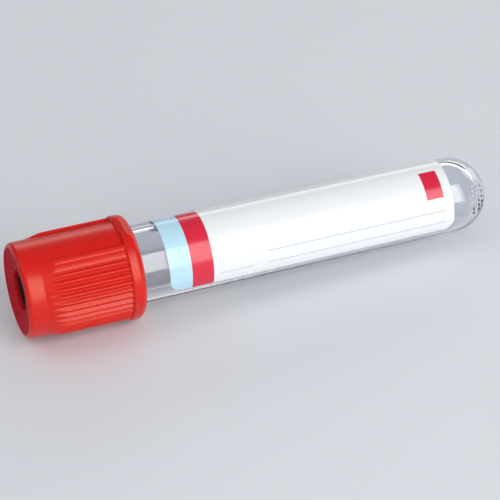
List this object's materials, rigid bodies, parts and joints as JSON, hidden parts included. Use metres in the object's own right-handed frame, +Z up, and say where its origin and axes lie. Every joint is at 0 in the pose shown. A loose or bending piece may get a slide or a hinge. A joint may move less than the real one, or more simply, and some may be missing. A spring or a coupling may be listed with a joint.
{
  "type": "blood collection tube",
  "caption": "Clear round-bottomed sample tube with a rubber stopper under a ribbed pull-off safety cap, a wrap-round label and a needle port in the cap's end.",
  "frame": {"origin": "middle of the floor under the tube, which lies at rest on its cap's flange and its round end", "axes": "+X towards the round end of the tube, -X towards the cap's end face, +Z up; the tube's axis dips 2.1 degrees from the cap to the round end"},
  "size_m": [0.0822, 0.0174, 0.017],
  "materials": {
    "tube": "clear moulded PET, glossy",
    "shield": "glossy red polypropylene",
    "stopper": "very dark red butyl rubber, matte",
    "label": "satin white film label with a cyan and a crimson band"
  },
  "bodies": {
    "tube_body": {"tube": "tube", "label": "label"},
    "closure_body": {"shield": "shield", "stopper": "stopper"}
  },
  "joints": [
    {"name": "closure_pull", "type": "slide", "parent": "tube_body", "child": "closure_body", "axis": [-0.9993, 0, 0.0365], "range_m": [0, 0.03]}
  ]
}
